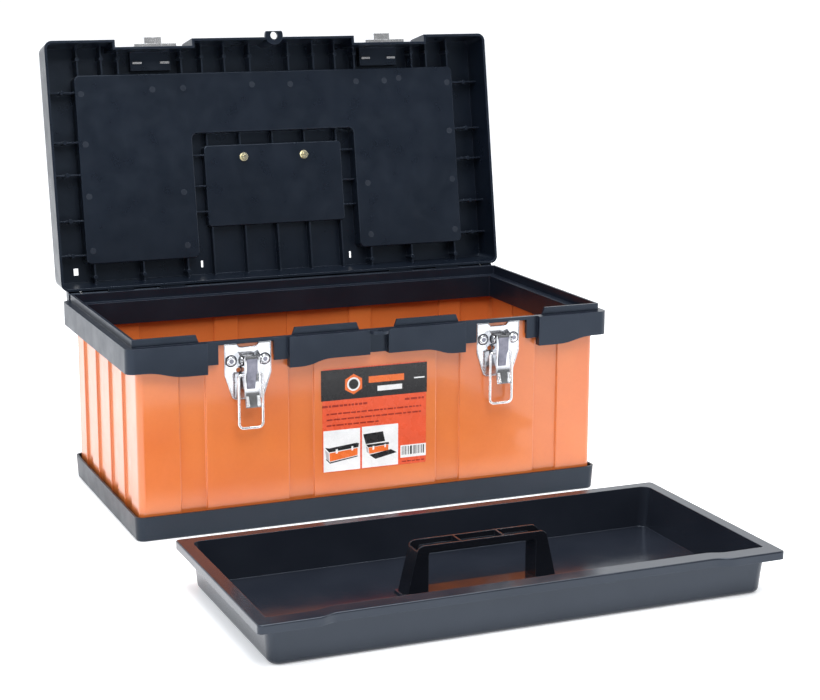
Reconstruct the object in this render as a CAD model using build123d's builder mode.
from build123d import *
import os
from math import cos, radians, sin

# Toolbox with a lift-out tray. Millimetres, +Z up, +X along the length, front face towards -Y.
# The origin is the centre of the box's footprint on the floor. The lid stands open and the tray
# lies on the floor in front, which is the pose that every joint counts from.

os.makedirs("parts", exist_ok=True)

# ---------------------------------------------------------------- collar
collar_length = 490.0
collar_width = 254.0
collar_corner = 8.0
shoulder_top = 183.2           # the lid's rim closes on this level
shoulder_thickness = 3.0
fascia_drop = 23.3             # height of the collar's outer face
fascia_lobe = 5.8              # how much deeper the front face hangs beside the latches
plastic_wall = 2.5
lip_height = 7.3
lip_inset = 7.0
ledge_inset = 9.5              # the tray's flange lies between here and the collar's opening
ledge_drop = 2.0
opening_inset = 18.5
skirt_depth = 23.0
latch_gap_x = (85.0, 175.4)    # where the raised lip is left out at the latches
eye_gap_x = 18.0               # and at the padlock eye

# ---------------------------------------------------------------- steel body and base tray
sheet = 0.8
body_inset = 9.5               # the steel wall's outer face, inside the collar's front and rear
body_end_inset = 11.3          # and inside its ends
body_corner = 6.0
body_foot = 3.0                # level of the steel wall's lower edge
foot_width = 14.0
band_width = 25.0
band_depth = 2.0
front_bands = (75.5, 181.6)    # distance of the recessed bands from the middle
end_bands = (25.0, 75.0)
base_height = 23.4
base_flare = 1.2
base_wall = 2.0
base_gap = 2.75                # between the steel wall and the base's rim
base_rivet_spots = [(x, y) for x in (-150, 0, 150) for y in (-110.0, 110.0)] + [(-226.0, 0), (226.0, 0)]

# ---------------------------------------------------------------- latches
latch_x = 128.2
plate_thickness = 1.2
plate_top = 179.4
recess_x = (90.0, 169.0)
recess_depth = 5.0
recess_low = 161.5
window_x = (103.5, 157.5)
rivet_offset = 16.3
rivet_z = 163.2
lever_y, lever_z = -126.6, 164.5
lever_half_width = 7.5
ear_half_width = 9.9
bail_y, bail_z = -126.2, 150.5
bail_radius = 1.35
bail_half_width = 11.6
bail_length = 50.4
pin_radius = 1.5
running_gap = 0.06

# ---------------------------------------------------------------- lid and hinge
eye_y = -128.7                 # the padlock holes of lid and collar share this axis
collar_eye_radius = 3.0
lid_eye_radius = 4.1
eye_boss_radius = 9.8
hinge_y, hinge_z = 130.5, 187.5
knuckle_radius = 3.2
hinge_stretch = (88.0, 224.0)
hinge_end = 238.0              # the collar's barrel goes on to here past the pins
knuckle_count = 5
knuckle_gap = 0.4
lid_open_angle = 99.7
lid_gap = 0.3
lid_height = 39.5
lid_flare = 2.0                # how far the front and ends lean in over the lid's height
lid_rear_flare = 6.0
platform_drop = 20.5           # from the lid's rim to the face of the U-shaped platform
platform_half_x = 212.3
platform_y = (-93.6, 100.4)
cutout_half_x = 91.0
cutout_front = -30.1
pad_drop = 26.5
pad_half_x = 77.4
pad_y = (-17.1, 68.9)
rib = 1.6
notch_x = (90.3, 172.0)
notch_depth = 7.5
tab_x = (10.0, 19.6)           # the strike's tabs, from its middle
tab_z = (213.9, 215.1)
tab_tip = (-106.8, -104.6)     # the tabs are folded down here
boss_half_x, boss_end, boss_level = 21.5, -97.5, 212.5

# ---------------------------------------------------------------- carry handle
axle_y, axle_z = 6.0, 217.6
axle_radius = 3.0
axle_half_length = 60.0
clamp_half_x = 46.0
clamp_screw_x, clamp_screw_y = 34.0, -3.7
handle_reach = 62.0
handle_thickness = 9.0

# ---------------------------------------------------------------- loose tray
tray_x, tray_y = -1.5, -354.0
tray_height = 39.5
flange_length, flange_width = 469.3, 225.4
tray_top_length, tray_top_width = 450.0, 206.0
tray_foot_length, tray_foot_width = 442.0, 200.3
tray_wall = 1.8
tray_lip = 7.25
tray_setback = 5.0             # the flange is this much narrower along the middle of its front side
setback_x = (166.0, 188.0)
front_ledge_y = (-96.0, -91.5) # the front flange reaches in to here at its ends and along its middle
tray_handle_top = 48.6
tray_handle_half_top, tray_handle_half_foot = 59.5, 69.8
tray_handle_depth = 20.0
tray_handle_wall = 1.7
tray_handle_ribs = 20.0
finger_half_x = 50.2
finger_top = 42.0
plinth_top = 5.0               # the handle stands on a raised block of the tray's floor
plinth_length, plinth_width = 143.0, 30.0
plinth_draft = 1.5

# ---------------------------------------------------------------- derived levels
body_length = collar_length - 2 * body_end_inset
body_width = collar_width - 2 * body_inset
front_face = -collar_width / 2
rear_face = collar_width / 2
body_front = -body_width / 2
shoulder_low = shoulder_top - shoulder_thickness
fascia_low = shoulder_top - fascia_drop
lobe_low = fascia_low - fascia_lobe
ledge_top = shoulder_top - ledge_drop
body_top = ledge_top - plastic_wall
lid_rim = shoulder_top + lid_gap
lid_crown = lid_rim + lid_height
lid_inside = lid_crown - plastic_wall
platform_level = lid_rim + platform_drop
pad_level = lid_rim + pad_drop
notch_front = front_face + notch_depth
hinge_axis = Axis((0, hinge_y, hinge_z), (1, 0, 0))
axle_axis = Axis((0, axle_y, axle_z), (1, 0, 0))
handle_hang_angle = lid_open_angle - 90     # the handle hangs plumb from the open lid
sides = {"left": -1, "right": 1}


def finish(piece, name):
    """Labels a finished piece and writes it to its own file."""
    piece.part.label = name
    export_step(piece.part, f"parts/{name}.step")


def finish_on_lid(piece, name):
    """Swings a piece that is modelled on the closed lid to the open lid, and writes it."""
    piece.part = piece.part.rotate(hinge_axis, -lid_open_angle)
    finish(piece, name)


def block(x, y, z, mode=Mode.ADD):
    """A box between two limits on each axis."""
    with Locations(((x[0] + x[1]) / 2, (y[0] + y[1]) / 2, (z[0] + z[1]) / 2)):
        Box(abs(x[1] - x[0]), abs(y[1] - y[0]), abs(z[1] - z[0]), mode=mode)


def rod(x, y, z, radius, mode=Mode.ADD):
    """A round bar along X between two limits."""
    with BuildSketch(Plane.YZ.offset(min(x))) as profile:
        with Locations((y, z)):
            Circle(radius)
    extrude(profile.sketch, amount=abs(x[1] - x[0]), mode=mode)


def section(x, points, mode=Mode.ADD):
    """A closed outline of (y, z) points, extruded along X between two limits."""
    with BuildSketch(Plane.YZ.offset(min(x))) as profile:
        with BuildLine():
            Polyline(*points, close=True)
        make_face()
    extrude(profile.sketch, amount=abs(x[1] - x[0]), mode=mode)


def frustum(low, high, low_size, high_size, radius, mode=Mode.ADD):
    """A rounded rectangle that changes size between two levels. A size is (length, width, shift in Y)."""
    ends = []
    for level, (length, width, shift) in ((low, low_size), (high, high_size)):
        with BuildSketch(Plane.XY.offset(level)) as end:
            with Locations((0, shift)):
                RectangleRounded(length, width, radius)
        ends.append(end.sketch)
    loft(ends, mode=mode)


def s_curve(start, end):
    """An S-shaped step between two points that leaves both of them level."""
    middle = (start[0] + end[0]) / 2
    Bezier(start, (middle, start[1]), (middle, end[1]), end)


# ================================================================ steel body
with BuildSketch() as wall_outline:
    RectangleRounded(body_length, body_width, body_corner)
    with GridLocations(2 * front_bands[0], body_width, 2, 2):
        Rectangle(band_width, 2 * band_depth, mode=Mode.SUBTRACT)
    with GridLocations(2 * front_bands[1], body_width, 2, 2):
        Rectangle(band_width, 2 * band_depth, mode=Mode.SUBTRACT)
    with GridLocations(body_length, 2 * end_bands[0], 2, 2):
        Rectangle(2 * band_depth, band_width, mode=Mode.SUBTRACT)
    with GridLocations(body_length, 2 * end_bands[1], 2, 2):
        Rectangle(2 * band_depth, band_width, mode=Mode.SUBTRACT)
    fillet(wall_outline.vertices(), radius=0.95)

with BuildPart() as steel_body:
    with BuildSketch(Plane.XY.offset(body_foot)):
        add(wall_outline.sketch)
        offset(wall_outline.sketch, amount=-sheet, mode=Mode.SUBTRACT)
    extrude(amount=body_top - body_foot)
    # The wall's foot turns inwards and is riveted to the base tray.
    with BuildSketch(Plane.XY.offset(body_foot)):
        add(wall_outline.sketch)
        RectangleRounded(body_length - 2 * foot_width, body_width - 2 * foot_width, body_corner, mode=Mode.SUBTRACT)
    extrude(amount=sheet)
    # The strip is closed by a lap seam inside the rear wall.
    seam_face = body_width / 2 - sheet
    block((-8, 8), (seam_face - sheet, seam_face), (body_foot, body_top - 22))
    with BuildSketch(Plane.XZ.offset(-body_front - 5)):
        for side in sides.values():
            with Locations((side * latch_x - rivet_offset, rivet_z), (side * latch_x + rivet_offset, rivet_z)):
                Circle(2.4)
    extrude(amount=10, mode=Mode.SUBTRACT)
    with Locations(*[(x, y, body_foot) for x, y in base_rivet_spots]):
        Cylinder(2.0, 4, mode=Mode.SUBTRACT)
finish(steel_body, "steel_body")

# ================================================================ base tray
rim_length = body_length + 2 * (base_gap + base_wall)
rim_width = body_width + 2 * (base_gap + base_wall)

with BuildPart() as base_tray:
    frustum(0, base_height, (rim_length - 2 * base_flare, rim_width - 2 * base_flare, 0),
            (rim_length, rim_width, 0), collar_corner)
    fillet(base_tray.faces().sort_by(Axis.Z)[0].edges(), radius=2.0)
    frustum(body_foot, base_height, (body_length + 1.6, body_width + 1.6, 0),
            (rim_length - 2 * base_wall, rim_width - 2 * base_wall, 0), body_corner + 0.4, Mode.SUBTRACT)
    with Locations(*[(x, y, 0) for x, y in base_rivet_spots]):
        Cylinder(2.0, 4 * body_foot, mode=Mode.SUBTRACT)
        Cylinder(4.4, 2.6, mode=Mode.SUBTRACT)
finish(base_tray, "base_tray")

with BuildPart() as base_rivets:
    rivet_seat = body_foot + sheet
    for x, y in base_rivet_spots:
        with BuildSketch(Plane.XY.offset(0.4)):
            with Locations((x, y)):
                Circle(2.0)
        extrude(amount=rivet_seat - 0.4)
        with Locations((x, y, 0.85)):
            Cylinder(3.8, 0.9)
        with Locations((x, y, rivet_seat + 0.7)):
            Cone(4.2, 3.0, 1.4)
finish(base_rivets, "base_rivets")

# ================================================================ collar
knuckle_pitch = (hinge_stretch[1] - hinge_stretch[0]) / knuckle_count
rear_lean = lid_rear_flare / lid_height


def knuckle_spans(first):
    """The X limits of every second knuckle on both halves, from the given one outwards."""
    spans = []
    for side in sides.values():
        for index in range(first, knuckle_count, 2):
            near = hinge_stretch[0] + index * knuckle_pitch + knuckle_gap / 2
            spans.append((side * near, side * (near + knuckle_pitch - knuckle_gap)))
    return spans


def collar_ring(outer_inset, inner_inset, low, high):
    """A band of the collar between two insets from its outer face."""
    with BuildSketch(Plane.XY.offset(low)) as ring:
        for inset, mode in ((outer_inset, Mode.ADD), (inner_inset, Mode.SUBTRACT)):
            length = collar_length - 2 * inset
            width = collar_width - 2 * inset
            RectangleRounded(length, width, max(collar_corner - inset, 1.0), mode=mode)
    extrude(ring.sketch, amount=high - low)


def stop_point(along):
    """A (y, z) point 0.3 under the open lid's rear wall, at a distance along it from the axis."""
    tilt = radians(lid_open_angle - 90) - rear_lean
    reach = (hinge_y - rear_face + (hinge_z - lid_rim) * rear_lean) * cos(rear_lean) - 0.3
    return (hinge_y + reach * sin(tilt) + along * cos(tilt), hinge_z + reach * cos(tilt) - along * sin(tilt))


with BuildPart() as collar:
    collar_ring(0, plastic_wall, fascia_low, shoulder_top)
    collar_ring(0, ledge_inset, shoulder_low, shoulder_top)
    collar_ring(lip_inset, ledge_inset, shoulder_low, shoulder_top + lip_height)
    collar_ring(ledge_inset - 0.5, opening_inset, ledge_top - plastic_wall, ledge_top)
    collar_ring(opening_inset - 2.2, opening_inset, ledge_top - skirt_depth, ledge_top)
    collar_ring(lip_inset + 0.5, body_inset - 0.05, shoulder_low - 14, shoulder_low)
    for side in sides.values():
        # The front face hangs deeper beside the latch, with an S-shaped shoulder each way.
        outer, near_outer, near_inner, inner = (side * x for x in (230, 188, 80, 46))
        with BuildSketch(Plane.XZ.offset(-front_face - plastic_wall)):
            with BuildLine():
                s_curve((outer, fascia_low), (near_outer, lobe_low))
                Line((near_outer, lobe_low), (near_inner, lobe_low))
                s_curve((near_inner, lobe_low), (inner, fascia_low))
                Polyline((inner, fascia_low), (inner, shoulder_low), (outer, shoulder_low), (outer, fascia_low))
            make_face()
        extrude(amount=plastic_wall)
        # The latch stands in a recess, with a window down to the steel behind its plate.
        recess = [side * x for x in recess_x]
        back = front_face + recess_depth
        block(recess, (front_face - 1, back), (lobe_low - 1, shoulder_top + 1), Mode.SUBTRACT)
        block(recess, (back, body_front - 2), (recess_low, shoulder_low))
        for edge, step in ((recess[0], -side), (recess[1], side)):
            block((edge, edge + step * plastic_wall), (front_face, body_front - 2), (lobe_low, shoulder_low))
        window = [side * x for x in window_x]
        block(window, (front_face - 1, body_front + 0.1), (lobe_low - 1, shoulder_low), Mode.SUBTRACT)
    # The raised lip is left out at the latches and at the padlock eye, with slanted ends.
    lip_top = shoulder_top + lip_height + 1
    lip_gaps = [(side * latch_gap_x[0], side * latch_gap_x[1]) for side in sides.values()]
    for near, far in lip_gaps + [(-eye_gap_x, eye_gap_x)]:
        slant = 3 if far > near else -3
        with BuildSketch(Plane.XZ.offset(-body_front - 0.5)):
            with BuildLine():
                Polyline((near, shoulder_top), (far, shoulder_top), (far + slant, lip_top), (near - slant, lip_top),
                         close=True)
            make_face()
        extrude(amount=5, mode=Mode.SUBTRACT)
    # Padlock eye on a rounded tab, with a niche below it.
    block((-9.5, 9.5), (front_face - 1, front_face + 5.5), (lobe_low, shoulder_low), Mode.SUBTRACT)
    block((-11.5, 11.5), (front_face + 5.5, body_front - 2), (fascia_low + 1, shoulder_low))
    for side in sides.values():
        block((side * 9.5, side * 11.5), (front_face, body_front - 2), (fascia_low, shoulder_low))
    with BuildSketch(Plane.XY.offset(shoulder_low)):
        with Locations((0, front_face)):
            Circle(9.5)
    extrude(amount=shoulder_thickness)
    with Locations((0, eye_y, shoulder_low)):
        Cylinder(collar_eye_radius, 4 * shoulder_thickness, mode=Mode.SUBTRACT)
    # The hinge's barrel, whose back also stops the open lid. It is solid between and beyond the pins.
    barrel_inner = hinge_stretch[0] - knuckle_gap
    barrel_outer = hinge_stretch[1] + 2
    solid_spans = [(-barrel_inner, barrel_inner), (-hinge_end, -barrel_outer), (barrel_outer, hinge_end)]
    for span in knuckle_spans(0) + solid_spans:
        section(span, [(rear_face - 0.6, fascia_low + 3), (rear_face - 0.6, shoulder_top),
                       (rear_face + 0.3, shoulder_top), (rear_face + 0.3, hinge_z), stop_point(0), stop_point(8),
                       (hinge_y + 8, hinge_z - 3)])
        rod(span, hinge_y, hinge_z, knuckle_radius)
    for span in knuckle_spans(0):
        rod(span, hinge_y, hinge_z, pin_radius, Mode.SUBTRACT)
finish(collar, "collar")

with BuildPart() as hinge_pins:
    for side in sides.values():
        rod((side * hinge_stretch[0], side * hinge_stretch[1]), hinge_y, hinge_z, pin_radius)
        rod((side * hinge_stretch[1], side * (hinge_stretch[1] + 1.2)), hinge_y, hinge_z, 2.6)
finish(hinge_pins, "hinge_pins")


# ================================================================ latches
def latch_plate(middle):
    """Plate outline with two top tabs and a tapered foot, and two ears for the lever's pin."""
    half_outline = [(0, plate_top - 3.4), (9.0, plate_top - 3.4), (10.5, plate_top), (22.7, plate_top),
                    (22.7, 150), (15.5, 128), (12.5, 126), (0, 126)]
    with BuildSketch(Plane.XZ.offset(-body_front)) as outline:
        for side in sides.values():
            with BuildLine():
                Polyline(*[(middle + side * x, z) for x, z in half_outline], close=True)
            make_face()
        with Locations((middle - rivet_offset, rivet_z), (middle + rivet_offset, rivet_z)):
            Circle(2.4, mode=Mode.SUBTRACT)
        with Locations((middle - 9.3, 154.4), (middle + 9.3, 154.4)):
            Circle(2.2, mode=Mode.SUBTRACT)
    extrude(outline.sketch, amount=plate_thickness)
    for side in sides.values():
        ear = (middle + side * (ear_half_width - plate_thickness), middle + side * ear_half_width)
        section(ear, [(body_front - 0.4, 157), (lever_y, lever_z - 4), (lever_y, lever_z + 4), (body_front - 0.4, 172)])
        rod(ear, lever_y, lever_z, 4.0)
        rod(ear, lever_y, lever_z, pin_radius, Mode.SUBTRACT)


def latch_lever(middle):
    """Channel-section lever: two cheeks, a front web and a tip that curls outwards."""
    for side in sides.values():
        cheek = (middle + side * (lever_half_width - plate_thickness), middle + side * lever_half_width)
        section(cheek, [(-122.8, 168.6), (-130.6, 168.6), (-131.0, 160), (-130.7, 137), (-128.6, 138.5),
                        (-123.4, 147), (-122.8, 152)])
        rod(cheek, lever_y, lever_z, pin_radius + running_gap, Mode.SUBTRACT)
        rod(cheek, bail_y, bail_z, bail_radius + running_gap, Mode.SUBTRACT)
    with BuildSketch(Plane.YZ.offset(middle - lever_half_width)) as web:
        with BuildLine():
            Line((-129.4, 168.6), (-130.6, 168.6))
            Spline((-130.6, 168.6), (-131.4, 158), (-130.9, 137), (-132.4, 128.5), (-135.6, 121.5))
            Line((-135.6, 121.5), (-134.5, 120.9))
            Spline((-134.5, 120.9), (-131.3, 128), (-129.7, 137), (-130.2, 158), (-129.4, 168.6))
        make_face()
    extrude(web.sketch, amount=2 * lever_half_width)


def latch_bail(middle):
    """Wire loop whose two inturned ends turn in the lever's cheeks."""
    end, half, low = 5.9, bail_half_width, bail_z - bail_length
    with BuildLine(Plane.XZ.offset(-bail_y)) as bail_path:
        FilletPolyline((middle - end, bail_z), (middle - half, bail_z), (middle - half, low), (middle + half, low),
                       (middle + half, bail_z), (middle + end, bail_z), radius=[2.6, 4.5, 4.5, 2.6])
    with BuildSketch(Plane(origin=bail_path.line @ 0, z_dir=bail_path.line % 0)) as wire:
        Circle(bail_radius)
    sweep(wire.sketch, path=bail_path.line)


def strike(middle):
    """Strike on the closed lid: a plate, a hook for the bail and two tabs through the lid's wall."""
    face = notch_front - plate_thickness
    hook = bail_z + bail_length - bail_radius - 0.25
    block((middle - 22.3, middle + 22.3), (face, notch_front), (190, 216.5))
    block((middle - 22.3, middle + 22.3), (face - 2.4, notch_front), (189, 190.2))
    section((middle - 9, middle + 9), [(face + 0.5, hook), (face + 0.5, hook - 1.5), (face - 10, hook - 1.5),
                                       (face - 10.6, hook + 3.6), (face - 9.4, hook + 3.8), (face - 8.9, hook)])
    for side in sides.values():
        tab = (middle + side * tab_x[0], middle + side * tab_x[1])
        block(tab, (face, tab_tip[1]), tab_z)
        block(tab, tab_tip, (tab_z[0] - 3, tab_z[1]))


for name, side in sides.items():
    with BuildPart() as plate:
        latch_plate(side * latch_x)
    finish(plate, f"latch_plate_{name}")
    with BuildPart() as lever:
        latch_lever(side * latch_x)
    finish(lever, f"latch_lever_{name}")
    with BuildPart() as bail:
        latch_bail(side * latch_x)
    finish(bail, f"latch_bail_{name}")
    with BuildPart() as strike_plate:
        strike(side * latch_x)
    finish_on_lid(strike_plate, f"strike_{name}")

with BuildPart() as latch_pins:
    for side in sides.values():
        rod((side * latch_x - ear_half_width, side * latch_x + ear_half_width), lever_y, lever_z, pin_radius)
finish(latch_pins, "latch_pins")

rivet_spots = [(side * latch_x + step * rivet_offset, rivet_z) for side in sides.values() for step in (-1, 1)]
plate_face = -body_front + plate_thickness

with BuildPart() as latch_rivets:
    with BuildSketch(Plane.XZ.offset(plate_face)):
        with Locations(*rivet_spots):
            Circle(4.7)
    extrude(amount=2.1)
    fillet(latch_rivets.faces().sort_by(Axis.Y)[:4].edges(), radius=1.7)
    with BuildSketch(Plane.XZ.offset(-body_front - sheet - 1.2)):
        with Locations(*rivet_spots):
            Circle(4.2)
    extrude(amount=1.2)
    with BuildSketch(Plane.XZ.offset(-body_front - sheet - 1.0)):
        with Locations(*rivet_spots):
            Circle(2.4)
    extrude(amount=sheet + plate_thickness + 1.5)
finish(latch_rivets, "latch_rivets")

# ================================================================ label
with BuildPart() as label:
    with BuildSketch(Plane.XZ.offset(-body_front)):
        with Locations((-1.2, 96.5)):
            RectangleRounded(107, 101, 1.5)
    extrude(amount=0.25)
finish(label, "label")

# ================================================================ lid, modelled closed
lid_mouth = (collar_length, collar_width, 0)
lid_roof = (collar_length - 2 * lid_flare, collar_width - lid_flare - lid_rear_flare, (lid_flare - lid_rear_flare) / 2)
ring_ribs_x = (21.7, 50.0, 74.8, 97.2, 165.0, 182.5, 207.7)
side_ribs_y = (-76.2, -25.2, 8.3, 55.4, 90.9)
rear_ribs_x = (104.0, 152.0, 204.0)
pad_ribs_x = (-73.0, -36.4, 0.0, 36.4, 73.0)
pad_ribs_y = (-7.2, 25.4, 52.4)

with BuildPart() as lid_hollow:
    inset = 2 * plastic_wall
    frustum(lid_rim, lid_inside, (lid_mouth[0] - inset, lid_mouth[1] - inset, 0),
            (lid_roof[0] - inset, lid_roof[1] - inset, lid_roof[2]), collar_corner - plastic_wall)
    for side in sides.values():
        block((side * (notch_x[0] - plastic_wall), side * (notch_x[1] + plastic_wall)),
              (front_face, notch_front + plastic_wall), (lid_rim - 1, lid_crown), Mode.SUBTRACT)
    with Locations((0, eye_y, lid_rim)):
        Cylinder(eye_boss_radius, 3 * lid_height, mode=Mode.SUBTRACT)


def platform_outline(shrink):
    """The U-shaped platform, open towards the hinge."""
    x = platform_half_x - shrink
    front, rear = platform_y[0] + shrink, platform_y[1] - shrink
    inner_x, inner_front = cutout_half_x + shrink, cutout_front - shrink
    with BuildSketch() as outline:
        with BuildLine():
            Polyline((-x, front), (x, front), (x, rear), (inner_x, rear), (inner_x, inner_front),
                     (-inner_x, inner_front), (-inner_x, rear), (-x, rear), close=True)
        make_face()
        fillet(outline.vertices(), radius=6)
    return outline.sketch


def rib_wall(x, y, low):
    """A thin rib between two limits in X and Y, up to the inside of the lid's top."""
    block(x, y, (low, lid_inside + 0.5))


def across(middle):
    """The two faces of a rib about its middle."""
    return (middle - rib / 2, middle + rib / 2)


def sunken_block(outline, level):
    """The outside of a sunken face, with a softly rounded edge."""
    with BuildPart() as sunken:
        with BuildSketch(Plane.XY.offset(level)):
            add(outline)
        extrude(amount=lid_crown - level)
        fillet(sunken.faces().sort_by(Axis.Z)[0].edges(), radius=1.2)
    return sunken.part


pad_middle = (pad_y[0] + pad_y[1]) / 2
pad_width = pad_y[1] - pad_y[0]
with BuildSketch() as pad_outline:
    with Locations((0, pad_middle)):
        RectangleRounded(2 * pad_half_x, pad_width, 4)
platform_block = sunken_block(platform_outline(0), platform_level)
pad_block = sunken_block(pad_outline.sketch, pad_level)
slack = 0.1

with BuildPart() as lid:
    frustum(lid_rim, lid_crown, lid_mouth, lid_roof, collar_corner)
    fillet(lid.faces().sort_by(Axis.Z)[-1].edges(), radius=5)
    for side in sides.values():
        block((side * notch_x[0], side * notch_x[1]), (front_face - 1, notch_front), (lid_rim - 1, lid_crown + 1),
              Mode.SUBTRACT)
    with Locations((0, eye_y, lid_rim)):
        Cylinder(eye_boss_radius - plastic_wall, 3 * lid_height, mode=Mode.SUBTRACT)
    add(lid_hollow.part, mode=Mode.SUBTRACT)
    # The padlock eye closes the groove at the rim.
    with BuildSketch(Plane.XY.offset(lid_rim)):
        with Locations((0, eye_y)):
            Circle(eye_boss_radius)
            with Locations((0, -eye_boss_radius - 4.6)):
                Rectangle(30, 2 * eye_boss_radius, mode=Mode.SUBTRACT)
            Circle(lid_eye_radius, mode=Mode.SUBTRACT)
    extrude(amount=3.5)
    # The U-shaped platform and the handle's pad are sunk into the lid's top.
    add(platform_block)
    add(pad_block)
    with BuildSketch(Plane.XY.offset(platform_level + plastic_wall)):
        add(platform_outline(plastic_wall))
    extrude(amount=lid_crown, mode=Mode.SUBTRACT)
    with BuildSketch(Plane.XY.offset(pad_level + plastic_wall)):
        with Locations((0, pad_middle)):
            RectangleRounded(2 * pad_half_x - inset, pad_width - inset, 3)
    extrude(amount=lid_crown, mode=Mode.SUBTRACT)
    rib_level, pad_rib_level = platform_level + 1.3, pad_level + 1.3
    # Ribs with ejector bosses join the platform to the walls, and the pad to the platform.
    wall_y = -front_face - plastic_wall + 0.2
    for side in sides.values():
        for x in ring_ribs_x:
            reach = wall_y - notch_depth + 1.2 if notch_x[0] < x < notch_x[1] else wall_y
            rib_wall(across(side * x), (-reach, platform_y[0] + 0.5), rib_level)
            with Locations((side * x, -110, (platform_level + lid_inside) / 2)):
                Cylinder(2.1, lid_inside - platform_level)
        for y in side_ribs_y:
            rib_wall((side * (platform_half_x - 0.5), side * (collar_length / 2 - 3)), across(y), rib_level)
            with Locations((side * 226, y, (platform_level + lid_inside) / 2)):
                Cylinder(2.1, lid_inside - platform_level)
        for x in rear_ribs_x:
            rib_wall(across(side * x), (platform_y[1] - 0.5, rear_face - 5.5), rib_level)
            with Locations((side * x, 114, (platform_level + lid_inside) / 2)):
                Cylinder(2.1, lid_inside - platform_level)
        for y in pad_ribs_y:
            rib_wall((side * (pad_half_x - 0.5), side * (cutout_half_x + 0.5)), across(y), pad_rib_level)
        # The strike's tabs pass through the notch wall into slots in a boss.
        middle = side * latch_x
        block((middle - boss_half_x, middle + boss_half_x), (notch_front + 1, boss_end), (boss_level, lid_inside + 0.5))
        for step in (-1, 1):
            slot = (middle + step * (tab_x[0] - slack), middle + step * (tab_x[1] + slack))
            block(slot, (notch_front - 1, tab_tip[1] + slack), (tab_z[0] - slack, tab_z[1] + slack), Mode.SUBTRACT)
            block(slot, (tab_tip[0] - slack, tab_tip[1] + slack), (boss_level - 1, tab_z[1] + slack), Mode.SUBTRACT)
    # Small windows in the top beside the ends of the hinge.
    for x, half_width in ((-220.5, 2.5), (-84.5, 1.3), (84.5, 1.3)):
        block((x - half_width, x + half_width), (104, 111), (lid_inside - 1, lid_crown + 1), Mode.SUBTRACT)
    for x in pad_ribs_x:
        rib_wall(across(x), (pad_y[1] - 0.5, rear_face - 5.5), pad_rib_level)
        rib_wall(across(x), (cutout_front - 0.5, pad_y[0] + 0.5), pad_rib_level)
    # Hinge knuckles between the collar's.
    for span in knuckle_spans(1):
        section(span, [(rear_face - 1.2, hinge_z - knuckle_radius), (hinge_y, hinge_z - knuckle_radius),
                       (hinge_y + 1.5, hinge_z + 2.8), (rear_face - 3.4, hinge_z + 10.5)])
        rod(span, hinge_y, hinge_z, knuckle_radius)
        rod(span, hinge_y, hinge_z, pin_radius + running_gap, Mode.SUBTRACT)
    with Locations((-clamp_screw_x, clamp_screw_y, pad_level), (clamp_screw_x, clamp_screw_y, pad_level)):
        Cylinder(2.2, 10, mode=Mode.SUBTRACT)
finish_on_lid(lid, "lid")

# ================================================================ carry handle on the closed lid
pad_floor = pad_level + plastic_wall
flange_top = pad_floor + 2.6
screw_spots = [(-clamp_screw_x, clamp_screw_y), (clamp_screw_x, clamp_screw_y)]

with BuildPart() as handle_clamp:
    block((-clamp_half_x, clamp_half_x), (-10, axle_y), (pad_floor, flange_top))
    block((-clamp_half_x, clamp_half_x), (axle_y - 5, axle_y + 5), (pad_floor, axle_z))
    fillet(handle_clamp.edges().filter_by(Axis.Z).sort_by(Axis.Y)[:2], radius=3)
    rod((-clamp_half_x, clamp_half_x), axle_y, axle_z, 5.0)
    rod((-clamp_half_x, clamp_half_x), axle_y, axle_z, axle_radius + running_gap, Mode.SUBTRACT)
    with Locations(*[(x, y, pad_floor) for x, y in screw_spots]):
        Cylinder(2.2, 12, mode=Mode.SUBTRACT)
finish_on_lid(handle_clamp, "handle_clamp")

with BuildPart() as clamp_screws:
    with BuildSketch(Plane.XY.offset(flange_top)):
        with Locations(*screw_spots):
            Circle(3.9)
    extrude(amount=2.4)
    fillet(clamp_screws.faces().sort_by(Axis.Z)[-2:].edges(), radius=1.2)
    with BuildSketch(Plane.XY.offset(flange_top + 2.4)):
        with Locations(*screw_spots):
            Rectangle(4.2, 0.9)
            Rectangle(0.9, 4.2)
    extrude(amount=-1.3, mode=Mode.SUBTRACT)
    with BuildSketch(Plane.XY.offset(flange_top + 0.2)):
        with Locations(*screw_spots):
            Circle(2.0)
    extrude(amount=-(flange_top + 0.2 - 204.6))
finish_on_lid(clamp_screws, "clamp_screws")

with BuildPart() as clamp_washers:
    with BuildSketch(Plane.XY.offset(pad_level - 0.8)):
        with Locations(*screw_spots):
            Circle(4.6)
            Circle(2.15, mode=Mode.SUBTRACT)
    extrude(amount=0.8)
finish_on_lid(clamp_washers, "clamp_washers")

with BuildPart() as clamp_nuts:
    with BuildSketch(Plane.XY.offset(pad_level - 4.0)):
        with Locations(*screw_spots):
            RegularPolygon(3.5, 6, major_radius=False)
            Circle(2.0, mode=Mode.SUBTRACT)
    extrude(amount=3.2)
finish_on_lid(clamp_nuts, "clamp_nuts")

with BuildPart() as handle_axle:
    rod((-axle_half_length, axle_half_length), axle_y, axle_z, axle_radius)
handle_axle.part = handle_axle.part.rotate(axle_axis, handle_hang_angle)
finish_on_lid(handle_axle, "handle_axle")

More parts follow.
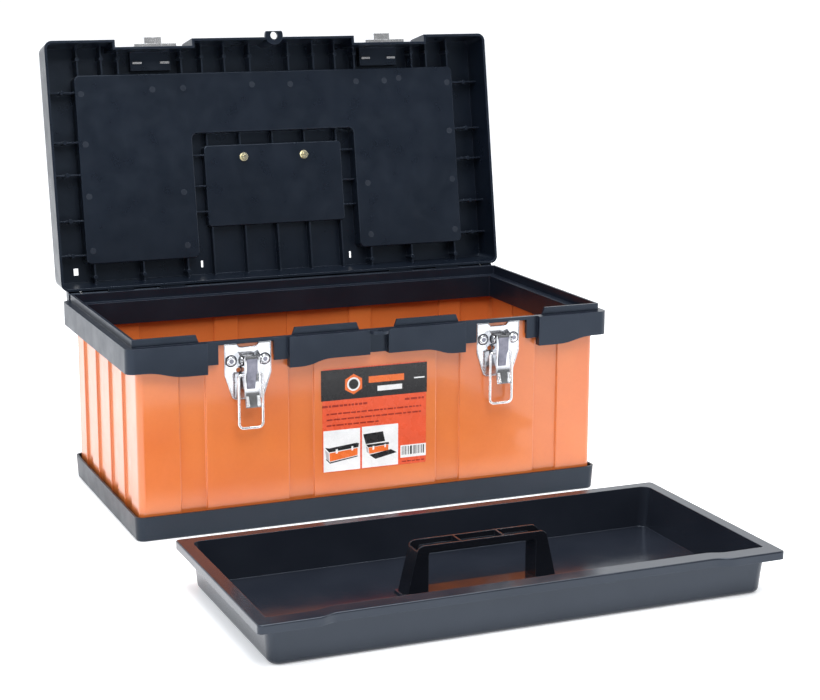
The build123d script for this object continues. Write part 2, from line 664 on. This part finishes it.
with BuildPart() as carry_handle:
    with BuildSketch(Plane.XY.offset(axle_z - handle_thickness / 2)):
        with BuildLine():
            half, arm, grip = axle_half_length + 2, 11, 14
            Polyline((-half, axle_y), (-half, handle_reach - 8), (-half + 8, handle_reach), (half - 8, handle_reach),
                     (half, handle_reach - 8), (half, axle_y), (half - arm, axle_y),
                     (half - arm, handle_reach - grip - 5), (half - arm - 5, handle_reach - grip),
                     (-half + arm + 5, handle_reach - grip), (-half + arm, handle_reach - grip - 5),
                     (-half + arm, axle_y), close=True)
        make_face()
    extrude(amount=handle_thickness)
    fillet(carry_handle.edges().group_by(Axis.Z)[-1], radius=2.2)
    fillet(carry_handle.edges().group_by(Axis.Z)[0], radius=2.2)
    for side in sides.values():
        arm_span = (side * (half - arm), side * half)
        rod(arm_span, axle_y, axle_z, handle_thickness / 2)
        rod((side * (half - arm - 1), side * axle_half_length), axle_y, axle_z, axle_radius, Mode.SUBTRACT)
carry_handle.part = carry_handle.part.rotate(axle_axis, handle_hang_angle)
finish_on_lid(carry_handle, "carry_handle")

# ================================================================ loose tray, modelled about its own middle
tray_place = Location((tray_x, tray_y, 0))
flange_low = tray_height - 2.0


def flange_outline(shrink):
    """The flange's outline, set back along the middle of its front side."""
    half_length, half_width = flange_length / 2 - shrink, flange_width / 2 - shrink
    near, far = (x - shrink / 2 for x in setback_x)
    waist = tray_setback - half_width
    with BuildSketch() as outline:
        with BuildLine():
            s_curve((-far, -half_width), (-near, waist))
            Line((-near, waist), (near, waist))
            s_curve((near, waist), (far, -half_width))
            Polyline((far, -half_width), (half_length, -half_width), (half_length, half_width),
                     (-half_length, half_width), (-half_length, -half_width), (-far, -half_width))
        make_face()
        for group in (0, -1):
            fillet(outline.vertices().group_by(Axis.X)[group], radius=4)
    return outline.sketch


def front_ledge():
    """The part of the front flange that reaches into the tray, set back like its outer edge."""
    near, far = setback_x
    at_end, at_middle = front_ledge_y
    half_length, back = tray_top_length / 2 - 1, 1 - tray_top_width / 2
    with BuildSketch(Plane.XY.offset(flange_low)) as outline:
        with BuildLine():
            s_curve((-far, at_end), (-near, at_middle))
            Line((-near, at_middle), (near, at_middle))
            s_curve((near, at_middle), (far, at_end))
            Polyline((far, at_end), (half_length, at_end), (half_length, back), (-half_length, back),
                     (-half_length, at_end), (-far, at_end))
        make_face()
    return outline.sketch


def tray_shell(shrink, low, mode):
    """The tray's tapered body, outside or inside."""
    frustum(low, tray_height, (tray_foot_length - 2 * shrink, tray_foot_width - 2 * shrink, 0),
            (tray_top_length - 2 * shrink, tray_top_width - 2 * shrink, 0), 10 - shrink, mode)


with BuildPart() as tray:
    tray_shell(0, 0, Mode.ADD)
    fillet(tray.faces().sort_by(Axis.Z)[0].edges(), radius=5)
    with BuildSketch(Plane.XY.offset(flange_low)):
        add(flange_outline(0))
    extrude(amount=tray_height - flange_low)
    with BuildSketch(Plane.XY.offset(tray_height - tray_lip)):
        add(flange_outline(0))
        add(flange_outline(tray_wall), mode=Mode.SUBTRACT)
    extrude(amount=tray_lip)
    fillet(tray.faces().sort_by(Axis.Z)[-1].edges(), radius=1.2)
    tray_shell(tray_wall, tray_wall, Mode.SUBTRACT)
    extrude(front_ledge(), amount=tray_height - flange_low)
    # The raised block under the handle is hollow from below.
    for low, high, inset, mode in ((tray_wall - 0.5, plinth_top, 0, Mode.ADD),
                                   (-0.5, plinth_top - tray_wall, 2 * tray_wall, Mode.SUBTRACT)):
        length, width = plinth_length - inset, plinth_width - inset
        frustum(low, high, (length + plinth_draft, width + plinth_draft, 0), (length, width, 0), 3, mode)
tray.part = tray.part.moved(tray_place)
finish(tray, "tray")


def handle_arch(half_foot, half_top, low, high, radius):
    """Front outline of the tray handle or of a space in it, rounded at its upper corners."""
    with BuildSketch() as outline:
        with BuildLine():
            Polyline((-half_foot, low), (-half_top, high), (half_top, high), (half_foot, low), close=True)
        make_face()
        fillet(outline.vertices().group_by(Axis.Y)[-1], radius=radius)
    return outline.sketch


with BuildPart() as tray_handle:
    wall = tray_handle_wall
    with BuildSketch(Plane.XZ.offset(-tray_handle_depth / 2)):
        add(handle_arch(tray_handle_half_foot, tray_handle_half_top, plinth_top, tray_handle_top, 6))
        add(handle_arch(finger_half_x, finger_half_x, plinth_top + wall, finger_top, 2), mode=Mode.SUBTRACT)
    extrude(amount=tray_handle_depth)
    # The grip is a trough with two ribs, which runs down into the hollow legs.
    with BuildSketch(Plane.XZ.offset(wall - tray_handle_depth / 2)):
        add(handle_arch(tray_handle_half_foot - wall, tray_handle_half_top - wall, plinth_top + wall,
                        tray_handle_top + 8, 5))
        add(handle_arch(finger_half_x + wall, finger_half_x + wall, plinth_top, finger_top + wall, 2),
            mode=Mode.SUBTRACT)
        for side in sides.values():
            with Locations((side * tray_handle_ribs, finger_top)):
                Rectangle(wall, 40, mode=Mode.SUBTRACT)
    extrude(amount=tray_handle_depth - 2 * wall, mode=Mode.SUBTRACT)
tray_handle.part = tray_handle.part.moved(tray_place)
finish(tray_handle, "tray_handle")
